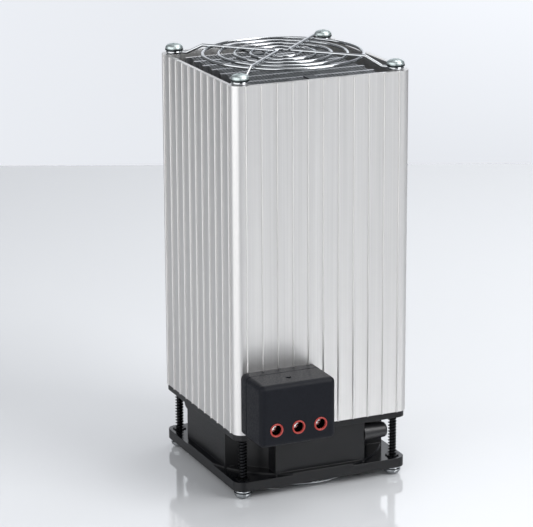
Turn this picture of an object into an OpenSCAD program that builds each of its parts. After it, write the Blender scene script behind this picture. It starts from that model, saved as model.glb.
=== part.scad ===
// Fan heater for a control cabinet: a ribbed aluminium casing that stands on an axial fan.
// A pack of heater bars and folded fins fills the casing, wire guards close both ends,
// and a terminal box sits at the foot of the front face.
// Millimetres. Z is up and the front of the heater faces -Y.

/* [Casing] */
// Height of the extruded casing
casing_h = 222; // [190:1:260]
// Distance the casing stands out past the fan on each side
casing_over = 0.5; // [0.2:0.1:1.5]
// Wall thickness of the extrusion
wall_t = 2.5; // [2:0.1:3]
// Outer corner radius of the extrusion
corner_r = 6; // [4.5:0.5:7]
// Number of ribs on each face
rib_n = 11; // [9:1:12]
// Width of a rib
rib_w = 1.1; // [0.8:0.1:1.3]
// Height of a rib above its face
rib_h = 0.9; // [0.8:0.1:1.3]
// Distance from the edge of a face to its outermost rib
rib_margin = 8.25; // [7.5:0.25:10]
// Radius of the metal around each screw port
boss_r = 4.6; // [4:0.1:5]

/* [Heater pack] */
// Gap between the outermost bars and the casing's walls
pack_gap = 6.85; // [6.5:0.05:9]
// Thickness of a heater bar
bar_t = 2.6; // [2.2:0.1:3.2]
// Wall thickness of a heater bar's flat tube
bar_wall = 0.5; // [0.4:0.05:0.6]
// Depth of the pack's top below the casing's rim
pack_drop = 3; // [2:0.5:6]
// Length of one fold of the fin sheet
fin_pitch = 2.4; // [2:0.1:3.6]
// Thickness of the fin sheet
fin_t = 0.25; // [0.2:0.05:0.35]
// Length of the contact tabs below a bar
tab_l = 8; // [6:0.5:12]
// Thickness of the end frames that hold the bars
frame_t = 3; // [2.5:0.1:3.2]
// Width of the contact strips below the pack
bus_w = 8; // [6:0.5:8.5]
// Thickness of the contact strips
bus_t = 1.2; // [0.8:0.1:1.6]

/* [Terminal box] */
// Width of the box
term_w = 51; // [48.5:0.5:52]
// Height of the box
term_h = 40; // [38:0.1:42]
// Depth of the box from the casing's face
term_d = 30; // [28:0.5:34]
// Distance of the box's side from the casing's left edge
term_side = 3.5; // [3:0.1:6]
// Height of the box above the casing's lower edge
term_lift = 0.7; // [0.5:0.1:4]
// Depth of the box's base
base_d = 8; // [6:0.5:8.5]
// Wall thickness of the cover
cover_wall = 2.2; // [1.8:0.1:2.6]
// Radius of the cover's front edges
cover_r = 3.5; // [2.6:0.1:4]
// Centre distance of the clamps
pole_pitch = 14.9; // [14.5:0.1:15.2]
// Height of the clamp screws above the box's lower face
hole_lift = 11.1; // [10.4:0.1:12]
// Outer diameter of the red collars
collar_d = 8.8; // [8:0.1:9.4]
// Inner diameter of the red collars
collar_bore = 6.4; // [6.2:0.1:6.8]
// Diameter of the conductor entries below
entry_d = 6.4; // [6:0.1:7]

/* [Fan] */
// Width of the fan's square flanges
fan_w = 119; // [117:0.5:122]
// Height of the fan
fan_h = 38; // [37:0.5:42]
// Distance of the corner screws from the edge of the flanges
hole_inset = 7; // [6.8:0.1:7.5]
// Thickness of the lower flange
flange_low_t = 6.2; // [5:0.1:7]
// Thickness of the upper flange
flange_top_t = 4.1; // [3.5:0.1:4.5]
// Corner radius of the flanges
flange_r = 6.5; // [5:0.5:8]
// Distance of the fan's air way from the edge of the flanges
bore_inset = 8.5; // [8:0.1:10]
// Wall thickness of the fan's barrel
barrel_t = 3.5; // [3:0.1:4]
// Half width of the flat panels on the barrel
panel_half = 31.2; // [28:0.2:33]
// Gap between the blade tips and the air way
tip_gap = 1.2; // [0.8:0.1:2]
// Outer radius of the impeller's hub
hub_r = 30; // [28:0.5:31]
// Number of blades
blade_n = 5; // [4:1:6]
// Thickness of a blade
blade_t = 2; // [1.4:0.1:2.4]
// Diameter of the shaft
shaft_d = 4; // [3:0.1:5]
// Radial running clearance of the shaft in its bearings
run_gap = 0.04; // [0.02:0.01:0.08]

/* [Wire guards] */
// Diameter of the guard wire
wire_d = 2; // [1.6:0.1:2.2]
// Number of rings
ring_n = 5; // [4:1:5]
// Radius of the innermost ring
ring_r0 = 10.6; // [9:0.1:12]
// Distance of the outermost ring inside the air way
ring_inset = 0.4; // [0.2:0.1:3]
// Height of the upper rings above the casing's rim
guard_rise = 4.9; // [4.4:0.1:7]
// Depth of the lower rings below the fan
guard_drop = 4.4; // [4:0.1:4.6]

/* [Screws] */
// Diameter of the pan heads
head_d = 11.2; // [10.8:0.1:11.6]
// Height of the pan heads
head_h = 3.8; // [3.5:0.1:4.2]
// Outer diameter of the screw thread
thread_d = 5.5; // [5.2:0.1:5.6]
// Core diameter of the screws
core_d = 4.8; // [4.4:0.1:4.9]
// Pitch of the screw thread
thread_p = 2; // [1.6:0.1:2.4]
// Thickness of the washers under the upper heads
washer_t = 1; // [0.8:0.1:1.4]
// Reach of the screws into the casing
screw_bite = 20; // [14:1:30]

/* [Rail clip] */
// Width of the mounting rail that the clip takes
rail_w = 35; // [35:0.1:35.3]
// Thickness of the rail's edge
rail_t = 1; // [1:0.1:1.2]
// Width of the clip
clip_w = 34; // [30:1:40]
// Thickness of the clip's plate
clip_t = 3; // [2.5:0.1:4]

/* [Hidden] */

// Small clearances between fixed neighbours
fit = 0.05;
// Cut-through allowance
eps = 0.5;
bars = 8;
layers = bars - 1;

// Heights, from the crown of the lower screw heads up
eye_wire = wire_d * 1.1;
fan_z0 = head_h + eye_wire;
fan_z1 = fan_z0 + fan_h;
casing_z0 = fan_z1;
casing_z1 = casing_z0 + casing_h;

casing_w = fan_w + 2 * casing_over;
inner_half = casing_w / 2 - wall_t;
face_y = -casing_w / 2;
rib_pitch = (casing_w - 2 * rib_margin) / (rib_n - 1);
hole_s = fan_w / 2 - hole_inset;
port_r = core_d / 2 + fit;

// Heater pack
term_z0 = casing_z0 + term_lift;
hole_z = term_z0 + hole_lift;
bus_lift = 21.7;
bus_z = term_z0 + bus_lift;
pack_z0 = bus_z + bus_t + tab_l;
pack_z1 = casing_z1 - pack_drop;
pack_h = pack_z1 - pack_z0;
frame_gap = 0.4;
frame_x1 = hole_s - boss_r - frame_gap;
frame_x0 = frame_x1 - frame_t;
frame_bite = 1.5;
frame_rim = 1.5;
leg_t = 3;
bar_pitch = (2 * (inner_half - pack_gap) - bar_t) / (bars - 1);
bar_l = 2 * (frame_x0 + frame_bite);
bar_cap = 3;
core_end = 4;
core_gap = 1;
core_t = bar_t - 2 * bar_wall - 2 * fit;
core_l = bar_l - 2 * core_end;
tab_w = 5;
tab_t = 0.8;
fin_gap = 0.3;
fin_l = 2 * (frame_x0 - fin_gap);
fin_h = bar_pitch - bar_t;
fold = fin_pitch / 2;
folds = floor(fin_l / fold);
fin_slant = fin_t / 2 * sqrt(1 + pow(fin_h / fold, 2));
pack_half = (bars - 1) / 2 * bar_pitch + bar_t / 2;
clip_strip = 0.8;
clip_x = 7;
clip_leg = 30;
clip_finger = 20;
strip_in = 8;
strip_out = 3;

// Terminal box
term_x = -casing_w / 2 + term_side + term_w / 2;
term_y1 = face_y - base_d;
term_y2 = face_y - term_d;
clamp_w = 9;
clamp_d = 13;
clamp_foot = 5;
clamp_roof = 2;
clamp_z0 = hole_z - clamp_foot;
clamp_z1 = bus_z + bus_t + clamp_roof;
divider_t = 2;
divider_d = clamp_d + 1;
rib_gap = 0.2;
seam_w = 0.6;
seam_deep = 0.6;
mark_x = -1.4;
mark_y = 9;
mark_w = 4.4;
mark_l = 4;
mark_deep = 0.8;
entry_y = term_y1 - 7.5;
lead_r = 2.4;
lead_deep = 11;
screw_r = 1.75;
screw_deep = 8;
screw_l = 7;
screw_head_r = 2.9;
screw_head_h = 2.6;
screw_neck = 2;
slot_w = 0.9;
slot_h = 1;
collar_in = 2.2;
collar_l = cover_wall + collar_in;
collar_out = 0.4;
fix_drop = 8;
fix_x = 14;
fix_r = 1.6;
fix_head_r = 3;
fix_head_h = 2.2;
fix_end = 2;
fix_z = term_z0 + term_h - fix_drop;

// Fan, heights from the fan's lower face
bore_r = fan_w / 2 - bore_inset;
barrel_r = bore_r + barrel_t;
panel_out = 1;
panel_y = barrel_r + panel_out;
lip_w = 8.5;
lip_r = barrel_r + lip_w;
lip_h = 1.2;
mouth_r = 4;
plate_t = 3.5;
tube_r = 6;
tube_t = 1.5;
arm_w = 6;
arm_h = 4.5;
cup_z0 = 7.5;
cup_gap = 2.5;
cup_z1 = fan_h - plate_t - cup_gap;
cup_t = 2;
cup_floor = 2.5;
collet_r = 5;
collet_h = 1.9;
rotor_t = 2.5;
rotor_gap = 0.5;
air_gap = 1;
stator_r = hub_r - cup_t - rotor_t - air_gap;
stator_z0 = 14;
stator_top = 5;
stator_z1 = cup_z1 - stator_top;
pole_slot_w = 3;
pole_slot_l = 9;
turn_h = 3.5;
turn_out = 2.5;
turn_in = 2;
bearing_w = 4;
bearing_step = 1;
bearing_top = 4;
shaft_r = shaft_d / 2;
shaft_top = 1.5;
groove_z = 3.7;
groove_w = 0.9;
groove_r = shaft_r - 0.3;
shaft_sink = 0.2;
shaft_clip_t = 0.8;
shaft_clip_w = 1.9;
camber_r = 45;
camber_x = 24.2;
camber_z = 33;
blade_w = 34;
blade_step = 1.5;
boot_gap = 1.6;
boot_x1 = hole_s - thread_d / 2 - boot_gap;
boot_r0 = 6;
boot_r1 = 5;
boot_edge = 2;
boot_in = 4.7;
boot_y = panel_y - boot_in;
boot_z = 24.2;

// Guards
ring_pitch = (bore_r - ring_inset - ring_r0) / (ring_n - 1);
wire_r = wire_d / 2;
weld = 0.3;
eye_gap = 0.35;
eye_r = thread_d / 2 + eye_gap + eye_wire / 2;
bend_swell = 1.02;
// Each cross wire is a V: a bend of apex_r about vee_x, then a tangent to the corner hole
apex_x = 5;
apex_r = 4;
leg_run = 20;
foot_run = 9;
vee_x = apex_x + apex_r;
vee_span = norm([hole_s - vee_x, hole_s]);
vee_turn = atan2(hole_s, hole_s - vee_x) - asin(apex_r / vee_span);
vee_leg = sqrt(vee_span * vee_span - apex_r * apex_r);

// Screws
head_rim = 1.2;
cross_l = 4.8;
cross_w = 1.1;
cross_h = 1.6;
top_bite = 16;
washer_out = 0.2;
washer_bore = 5.8;
retainer_t = 0.8;
retainer_r = 4.4;
notch_r = 1;
notch_out = 0.2;
thread_gap = 0.4;

// Rail clip
clip_y0 = casing_w / 2 + rib_h + fit;
clip_pad = 0.5;
seat_y = clip_y0 + clip_t + clip_pad;
hook_y = seat_y + rail_t + 0.2;
hook_t = 1.8;
hook_l = 2;
clip_z = casing_z0 + casing_h / 2;
clip_screw_in = 6;
clip_screw_x = clip_w / 2 - clip_screw_in;
clip_screw_r = 2;
clip_screw_end = 3;
clip_head_r = 3.6;
clip_head_h = 1.7;
clip_head_sink = 1.9;
hook_h = 4;
rail_gap = 0.15;
clip_tail = 6;
pad_in = 4;
tongue_w = 16;
tongue_slot = 1.2;
tongue_l = 18.65;

// The origin is the middle of the footprint, so the fan's axis lies behind it
rear_y = hook_y + hook_t;
axis_y = -(term_y2 - collar_out + rear_y) / 2;

module place() {
    translate([0, axis_y, 0]) children();
}

module corner_spots() {
    for (sx = [-1, 1])
        for (sy = [-1, 1])
            translate([sx * hole_s, sy * hole_s, 0]) children();
}

module rounded_square(w, r) {
    square([w, w - 2 * r], center = true);
    square([w - 2 * r, w], center = true);
    for (sx = [-1, 1])
        for (sy = [-1, 1])
            translate([sx * (w / 2 - r), sy * (w / 2 - r)]) circle(r, $fn = 48);
}

// One rib of the extrusion, on the front face
module rib_section(x) {
    reach = rib_h - rib_w / 2;
    translate([x - rib_w / 2, face_y - reach]) square([rib_w, reach + eps]);
    translate([x, face_y - reach]) circle(d = rib_w, $fn = 24);
}

function rib_x(i) = -casing_w / 2 + rib_margin + i * rib_pitch;

// Metal around a screw port, joined to both walls of its corner
module port_section() {
    reach = casing_w / 2 - hole_s - eps;
    circle(boss_r, $fn = 48);
    translate([-boss_r, 0]) square([boss_r + reach, reach]);
    translate([0, -boss_r]) square([reach, boss_r + reach]);
}

module casing_section() {
    difference() {
        union() {
            rounded_square(casing_w, corner_r);
            for (q = [0 : 3])
                rotate(90 * q)
                    for (i = [0 : rib_n - 1])
                        rib_section(rib_x(i));
        }
        difference() {
            rounded_square(2 * inner_half, corner_r - wall_t);
            for (q = [0 : 3])
                rotate(90 * q)
                    translate([hole_s, hole_s]) port_section();
        }
        for (q = [0 : 3])
            rotate(90 * q)
                translate([hole_s, hole_s]) circle(port_r, $fn = 32);
    }
}

module front_hole(x, z, r) {
    translate([x, face_y + wall_t + eps, z])
        rotate([90, 0, 0])
            cylinder(h = wall_t + 2 * eps, r = r, $fn = 32);
}

function pole_x(i) = term_x + (i - 1) * pole_pitch;

// Ribbed square extrusion with a screw port in each corner
module casing() {
    color("silver")
        difference() {
            translate([0, 0, casing_z0]) linear_extrude(casing_h) casing_section();
            for (i = [1, 2])
                translate([pole_x(i) - bus_w / 2 - 0.6, face_y - 2 * eps, bus_z - 1])
                    cube([bus_w + 1.2, wall_t + 4 * eps, bus_t + 2]);
            for (s = [-1, 1]) {
                front_hole(term_x + s * fix_x, fix_z, fix_r + fit);
                translate([s * clip_screw_x, inner_half - eps, clip_z])
                    rotate([-90, 0, 0])
                        cylinder(h = wall_t + rib_h + 2 * eps, r = clip_screw_r + fit, $fn = 32);
            }
        }
}

// Flat aluminium tube, closed at the top, that carries one heating core
module heater_bar(i) {
    y = (i - (bars + 1) / 2) * bar_pitch;
    color("gainsboro")
        translate([0, y, pack_z0])
            difference() {
                translate([-bar_l / 2, -bar_t / 2, 0]) cube([bar_l, bar_t, pack_h]);
                translate([-core_l / 2 - fit, -core_t / 2 - fit, -eps])
                    cube([core_l + 2 * fit, core_t + 2 * fit, pack_h - bar_cap + eps]);
            }
}

// Heating stones and their two contact sheets, one core to a bar, with two tabs below
module heater_cores() {
    color("dimgray")
        for (i = [1 : bars])
            translate([0, (i - (bars + 1) / 2) * bar_pitch, 0]) {
                translate([-core_l / 2, -core_t / 2, pack_z0 + core_gap])
                    cube([core_l, core_t, pack_h - bar_cap - 1.5 * core_gap]);
                for (k = [1, 2])
                    translate([pole_x(k) - tab_w / 2, -tab_t / 2, pack_z0 - tab_l])
                        cube([tab_w, tab_t, tab_l + 2 * core_gap]);
            }
}

function fold_y(i) = (i % 2 == 0 ? -1 : 1) * fin_h / 2;

function fold_x(i) = (i - folds / 2) * fold;

// Thin aluminium sheet folded to and fro between two bars
module fin_layer(i) {
    y = (i - (layers + 1) / 2) * bar_pitch;
    upper = [for (k = [0 : folds]) [fold_x(k), fold_y(k) + fin_slant]];
    lower = [for (k = [folds : -1 : 0]) [fold_x(k), fold_y(k) - fin_slant]];
    color("lightgray")
        translate([0, y, pack_z0])
            linear_extrude(pack_h)
                intersection() {
                    polygon(concat(upper, lower));
                    square([fin_l + eps, fin_h], center = true);
                }
}

// Heat-proof holder at one end of the pack, slotted for the bar ends
module end_frame(side) {
    y1 = pack_half + frame_rim;
    leg_y = 3 * bar_pitch - leg_t;
    color("black")
        translate([0, 0, pack_z0 + 4])
            linear_extrude(pack_h - 16)
                difference() {
                    union() {
                        translate([side > 0 ? frame_x0 : -frame_x1, -y1])
                            square([frame_t, 2 * y1]);
                        for (s = [-1, 1])
                            translate([side > 0 ? frame_x1 - eps : -inner_half, s * leg_y - leg_t / 2])
                                square([inner_half - frame_x1 + eps, leg_t]);
                    }
                    for (i = [1 : bars])
                        translate([side * (frame_x0 + frame_bite / 2), (i - (bars + 1) / 2) * bar_pitch])
                            square([frame_bite + 2 * fit, bar_t + 2 * fit], center = true);
                }
}

// Bent steel strips that hold the pack down, one at the front and one at the back
module pack_clips() {
    color("darkslategray")
        for (q = [0, 180])
            rotate(q)
                translate([-clip_x / 2, -inner_half, 0]) {
                    translate([0, 0, pack_z1 - clip_leg]) cube([clip_x, clip_strip, clip_leg + clip_strip]);
                    translate([0, 0, pack_z1]) cube([clip_x, clip_finger, clip_strip]);
                }
}

// Contact strip that runs below the pack and forward into its clamp
module bus_strip(i) {
    y0 = term_y1 - strip_in;
    y1 = pack_half + strip_out;
    color("goldenrod")
        translate([pole_x(i) - bus_w / 2, y0, bus_z]) cube([bus_w, y1 - y0, bus_t]);
}

// Cutter that clears the casing's ribs behind the terminal box
module rib_grooves() {
    for (i = [0 : rib_n - 1])
        translate([rib_x(i) - rib_w / 2 - rib_gap, face_y - rib_h - rib_gap, term_z0 - eps])
            cube([rib_w + 2 * rib_gap, rib_h + rib_gap + eps, term_h + 2 * eps]);
}

// Short strip that bonds the earth clamp to the casing's face
module earth_strap() {
    color("goldenrod")
        difference() {
            translate([pole_x(0) - bus_w / 2, term_y1 - strip_in, bus_z])
                cube([bus_w, base_d + strip_in, bus_t]);
            rib_grooves();
        }
}

// Box with rounded front edges and rounded corners, its back on the plane y = 0
module soft_box(w, h, d, r) {
    translate([-w / 2 + r, -d + r, 0]) cube([w - 2 * r, d - r, h]);
    translate([-w / 2, -d + r, r]) cube([w, d - r, h - 2 * r]);
    translate([-w / 2 + r, -d, r]) cube([w - 2 * r, r + eps, h - 2 * r]);
    for (sx = [-1, 1])
        for (z = [r, h - r]) {
            translate([sx * (w / 2 - r), 0, z])
                rotate([90, 0, 0]) cylinder(h = d - r, r = r, $fn = 32);
            translate([sx * (w / 2 - r), -d + r, z]) sphere(r, $fn = 32);
        }
    for (sx = [-1, 1])
        translate([sx * (w / 2 - r), -d + r, r]) cylinder(h = h - 2 * r, r = r, $fn = 32);
    for (z = [r, h - r])
        translate([-w / 2 + r, -d + r, z])
            rotate([0, 90, 0]) cylinder(h = w - 2 * r, r = r, $fn = 32);
}

// Outline of the terminal box, drawn in by trim on all sides
module box_outline(trim) {
    r = cover_r - trim;
    w = term_w - 2 * trim;
    h = term_h - 2 * trim;
    translate([0, term_h / 2]) {
        square([w, h - 2 * r], center = true);
        square([w - 2 * r, h], center = true);
        for (sx = [-1, 1])
            for (sz = [-1, 1])
                translate([sx * (w / 2 - r), sz * (h / 2 - r)]) circle(r, $fn = 32);
    }
}

// Back half of the terminal box, grooved to sit over the casing's ribs, with a seam before the cover
module terminal_base() {
    color("#2c2d30")
        difference() {
            union() {
                translate([term_x, face_y, term_z0])
                    rotate([90, 0, 0]) {
                        linear_extrude(base_d - seam_w) box_outline(0);
                        linear_extrude(base_d) box_outline(seam_deep);
                    }
                for (i = [1, 2])
                    translate([pole_x(i - 0.5) - divider_t / 2, term_y1 - divider_d, clamp_z0])
                        cube([divider_t, divider_d + eps, clamp_z1 - clamp_z0]);
            }
            rib_grooves();
            for (i = [0 : 2])
                translate([pole_x(i) - bus_w / 2 - 0.3, term_y1 - eps, bus_z - 0.3])
                    cube([bus_w + 0.6, base_d + 2 * eps, bus_t + 0.6]);
            for (s = [-1, 1])
                translate([term_x + s * fix_x, face_y + eps, fix_z])
                    rotate([90, 0, 0]) cylinder(h = base_d + 2 * eps, r = fix_r + 3 * fit, $fn = 32);
        }
}

// Front half of the terminal box: a shell with three screw wells and three entries below
module terminal_cover() {
    d = term_d - base_d;
    wi = term_w - 2 * cover_wall;
    hi = term_h - 2 * cover_wall;
    color("#2c2d30")
        difference() {
            translate([term_x, term_y1, term_z0]) soft_box(term_w, term_h, d, cover_r);
            translate([term_x - wi / 2, term_y2 + cover_wall, term_z0 + cover_wall])
                cube([wi, d - cover_wall + eps, hi]);
            for (i = [0 : 2]) {
                translate([pole_x(i), term_y2 + cover_wall + eps, hole_z])
                    rotate([90, 0, 0])
                        cylinder(h = cover_wall + 2 * eps, r = collar_d / 2 + fit, $fn = 48);
                translate([pole_x(i), entry_y, term_z0 - eps])
                    cylinder(h = cover_wall + 2 * eps, r = entry_d / 2, $fn = 48);
            }
            translate([term_x + mark_x, term_y1 - mark_y, term_z0 + term_h - mark_deep])
                linear_extrude(mark_deep + eps) polygon([[-mark_w / 2, 0], [mark_w / 2, 0], [0, -mark_l]]);
        }
}

// Red collars that line the three screw wells
module terminal_collars() {
    color("#c4483f")
        for (i = [0 : 2])
            translate([pole_x(i), term_y2 + collar_l, hole_z])
                rotate([90, 0, 0])
                    difference() {
                        cylinder(h = collar_l + collar_out, r = collar_d / 2, $fn = 48);
                        translate([0, 0, -eps])
                            cylinder(h = collar_l + collar_out + 2 * eps, r = collar_bore / 2, $fn = 48);
                    }
}

// Brass clamps, each bored for its screw and its conductor and slotted for its strip
module terminal_clamps() {
    color("#b99a4b")
        for (i = [0 : 2])
            translate([pole_x(i), term_y1, 0])
                difference() {
                    translate([-clamp_w / 2, -clamp_d, clamp_z0])
                        cube([clamp_w, clamp_d, clamp_z1 - clamp_z0]);
                    translate([0, -clamp_d + screw_deep, hole_z])
                        rotate([90, 0, 0]) cylinder(h = screw_deep + eps, r = screw_r + fit, $fn = 32);
                    translate([0, entry_y - term_y1, clamp_z0 - eps])
                        cylinder(h = lead_deep + eps, r = lead_r, $fn = 32);
                    translate([-bus_w / 2 - fit, -strip_in - fit, bus_z - fit])
                        cube([bus_w + 2 * fit, strip_in + fit + eps, bus_t + 2 * fit]);
                }
}

// Slotted screws at the bottom of the wells
module clamp_screws() {
    color("lightsteelblue")
        for (i = [0 : 2])
            translate([pole_x(i), term_y1 - clamp_d, hole_z])
                rotate([90, 0, 0])
                    difference() {
                        union() {
                            translate([0, 0, -screw_l])
                                cylinder(h = screw_l + screw_neck + eps, r = screw_r, $fn = 32);
                            translate([0, 0, screw_neck])
                                cylinder(h = screw_head_h, r = screw_head_r, $fn = 32);
                        }
                        translate([-screw_head_r - eps, -slot_w / 2, screw_neck + screw_head_h - slot_h])
                            cube([2 * (screw_head_r + eps), slot_w, slot_h + eps]);
                    }
}

// Two screws that hold the base to the casing's face
module terminal_fixings() {
    color("lightsteelblue")
        for (s = [-1, 1])
            translate([term_x + s * fix_x, term_y1, fix_z])
                rotate([90, 0, 0])
                    difference() {
                        union() {
                            translate([0, 0, -base_d - wall_t - fix_end])
                                cylinder(h = base_d + wall_t + fix_end + eps, r = fix_r, $fn = 32);
                            cylinder(h = fix_head_h, r = fix_head_r, $fn = 32);
                        }
                        for (q = [0, 90])
                            rotate(q)
                                translate([-fix_head_r * 2 / 3, -slot_w / 2, fix_head_h - slot_h])
                                    cube([fix_head_r * 4 / 3, slot_w, slot_h + eps]);
                    }
}

// Ring-shaped cutter that rounds the mouth of the air way
module mouth_cut() {
    rotate_extrude($fn = 96)
        difference() {
            translate([bore_r - eps, -eps]) square([mouth_r + eps, mouth_r + eps]);
            translate([bore_r + mouth_r, mouth_r]) circle(mouth_r, $fn = 48);
        }
}

// Cast housing: two square flanges, a round barrel with flat panels, and the motor's carrier
module fan_housing() {
    color("#26272a")
        translate([0, 0, fan_z0]) {
            difference() {
                union() {
                    linear_extrude(flange_low_t) rounded_square(fan_w, flange_r);
                    linear_extrude(flange_low_t + lip_h)
                        intersection() {
                            rounded_square(fan_w, flange_r);
                            circle(lip_r, $fn = 96);
                        }
                    translate([0, 0, fan_h - flange_top_t])
                        linear_extrude(flange_top_t) rounded_square(fan_w, flange_r);
                    cylinder(h = fan_h, r = barrel_r, $fn = 96);
                    translate([0, 0, 1])
                        linear_extrude(fan_h - 2) {
                            square([2 * panel_half, 2 * panel_y], center = true);
                            square([2 * panel_y, 2 * panel_half], center = true);
                        }
                }
                translate([0, 0, -eps]) cylinder(h = fan_h + 2 * eps, r = bore_r, $fn = 96);
                mouth_cut();
                translate([0, 0, fan_h]) mirror([0, 0, 1]) mouth_cut();
                corner_spots()
                    translate([0, 0, -eps])
                        cylinder(h = fan_h + 2 * eps, r = thread_d / 2 + 0.25, $fn = 32);
            }
            difference() {
                union() {
                    translate([0, 0, fan_h - plate_t]) cylinder(h = plate_t, r = hub_r + 1, $fn = 96);
                    translate([0, 0, stator_z0 - 1.2])
                        cylinder(h = fan_h - stator_z0 + 1.2, r = tube_r + tube_t, $fn = 48);
                    for (q = [45 : 90 : 315])
                        rotate(q)
                            translate([hub_r - 2 * eps, -arm_w / 2, fan_h - arm_h])
                                cube([bore_r - hub_r + 4 * eps, arm_w, arm_h]);
                }
                translate([0, 0, stator_z0 - 2]) cylinder(h = fan_h, r = tube_r, $fn = 48);
            }
        }
}

// Laminated core of the motor, with slots between its poles
module stator_core() {
    color("slategray")
        translate([0, 0, fan_z0 + stator_z0])
            difference() {
                cylinder(h = stator_z1 - stator_z0, r = stator_r, $fn = 64);
                translate([0, 0, -eps])
                    cylinder(h = stator_z1 - stator_z0 + 2 * eps, r = tube_r + tube_t + fit, $fn = 48);
                for (q = [0 : 60 : 300])
                    rotate(q)
                        translate([stator_r - pole_slot_l, -pole_slot_w / 2, -eps])
                            cube([2 * pole_slot_l, pole_slot_w, stator_z1 - stator_z0 + 2 * eps]);
            }
}

// End turns of the copper winding, above and below the core
module stator_windings() {
    color("peru")
        translate([0, 0, fan_z0])
            for (z = [stator_z0 - turn_h, stator_z1])
                translate([0, 0, z])
                    difference() {
                        cylinder(h = turn_h, r = stator_r - turn_out, $fn = 64);
                        translate([0, 0, -eps])
                            cylinder(h = turn_h + 2 * eps, r = tube_r + tube_t + turn_in, $fn = 48);
                    }
}

// Two ball bearings in the motor's tube
module bearings() {
    color("lightsteelblue")
        translate([0, 0, fan_z0])
            for (z = [stator_z0 - bearing_step, fan_h - bearing_top - bearing_w])
                translate([0, 0, z])
                    difference() {
                        cylinder(h = bearing_w, r = tube_r - 0.02, $fn = 48);
                        translate([0, 0, -eps])
                            cylinder(h = bearing_w + 2 * eps, r = shaft_r + run_gap, $fn = 32);
                    }
}

// Section of a cambered blade, across the air stream
module blade_section() {
    half = (cup_z1 - cup_z0) / 2 - blade_step;
    mid = (cup_z1 + cup_z0) / 2;
    intersection() {
        translate([camber_x, mid - camber_z])
            difference() {
                circle(camber_r + blade_t / 2, $fn = 96);
                circle(camber_r - blade_t / 2, $fn = 96);
            }
        translate([-blade_w / 2, mid - half]) square([blade_w, 2 * half]);
    }
}

// Hub cup and blades, moulded in one piece
module impeller() {
    tip_r = bore_r - tip_gap;
    color("#1f2022")
        translate([0, 0, fan_z0]) {
            difference() {
                translate([0, 0, cup_z0]) cylinder(h = cup_z1 - cup_z0, r = hub_r, $fn = 96);
                translate([0, 0, cup_z0 + cup_floor])
                    cylinder(h = cup_z1 - cup_z0, r = hub_r - cup_t, $fn = 96);
                translate([0, 0, cup_z0 - eps]) cylinder(h = cup_floor + 2 * eps, r = shaft_r, $fn = 32);
            }
            difference() {
                translate([0, 0, cup_z0 + cup_floor - eps])
                    cylinder(h = collet_h + eps, r = collet_r, $fn = 32);
                translate([0, 0, cup_z0])
                    cylinder(h = cup_floor + collet_h + eps, r = shaft_r, $fn = 32);
            }
            for (k = [0 : blade_n - 1])
                rotate(k * 360 / blade_n)
                    intersection() {
                        rotate([90, 0, 90]) linear_extrude(tip_r + 2) blade_section();
                        difference() {
                            cylinder(h = fan_h, r = tip_r, $fn = 96);
                            translate([0, 0, -eps]) cylinder(h = fan_h + 1, r = hub_r - 1, $fn = 96);
                        }
                        translate([0, -tip_r, 0]) cube([tip_r + 2, 2 * tip_r, fan_h]);
                    }
        }
}

// Steel ring pressed into the cup
module rotor_ring() {
    color("gray")
        translate([0, 0, fan_z0 + cup_z0 + cup_floor + rotor_gap])
            difference() {
                cylinder(h = cup_z1 - cup_z0 - cup_floor - 3 * rotor_gap, r = hub_r - cup_t, $fn = 96);
                translate([0, 0, -eps])
                    cylinder(h = cup_z1 - cup_z0, r = hub_r - cup_t - rotor_t, $fn = 96);
            }
}

// Shaft pressed into the cup, with a groove at its upper end for the clip
module fan_shaft() {
    color("lightsteelblue")
        translate([0, 0, fan_z0])
            difference() {
                translate([0, 0, cup_z0 + shaft_sink])
                    cylinder(h = fan_h - shaft_top - cup_z0 - shaft_sink, r = shaft_r, $fn = 32);
                translate([0, 0, fan_h - groove_z])
                    difference() {
                        cylinder(h = groove_w, r = shaft_r + eps, $fn = 32);
                        translate([0, 0, -eps]) cylinder(h = groove_w + 2 * eps, r = groove_r, $fn = 32);
                    }
            }
}

// Open spring clip in the shaft's groove
module shaft_clip() {
    color("dimgray")
        translate([0, 0, fan_z0 + fan_h - groove_z + (groove_w - shaft_clip_t) / 2])
            difference() {
                cylinder(h = shaft_clip_t, r = groove_r + shaft_clip_w, $fn = 32);
                translate([0, 0, -eps]) cylinder(h = shaft_clip_t + 2 * eps, r = groove_r, $fn = 32);
                translate([0, -shaft_clip_t, -eps])
                    cube([shaft_r + 2 * shaft_clip_w, 2 * shaft_clip_t, shaft_clip_t + 2 * eps]);
            }
}

// Tapered rubber boots over the fan's leads, on the front and the back panel
module lead_boots() {
    l = boot_x1 - panel_half;
    color("#1c1c1e")
        translate([0, 0, fan_z0 + boot_z])
            for (q = [0, 180])
                rotate(q)
                    translate([panel_half, -boot_y, 0])
                        rotate([0, 90, 0])
                            rotate_extrude($fn = 48) {
                                polygon([[0, 0], [boot_r0, 0], [boot_r1, l - boot_edge], [0, l - boot_edge]]);
                                square([boot_r1 - boot_edge, l]);
                                translate([boot_r1 - boot_edge, l - boot_edge]) circle(boot_edge, $fn = 32);
                            }
}

module straight_wire(l) {
    rotate([0, 90, 0]) cylinder(h = l, r = wire_r, $fn = 48);
}

// Bend of a wire, its axis halfway between the two straights
module wire_bend(turn) {
    rotate([0, 90 + turn / 2, 0]) sphere(wire_r * bend_swell, $fn = 48);
}

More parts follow.
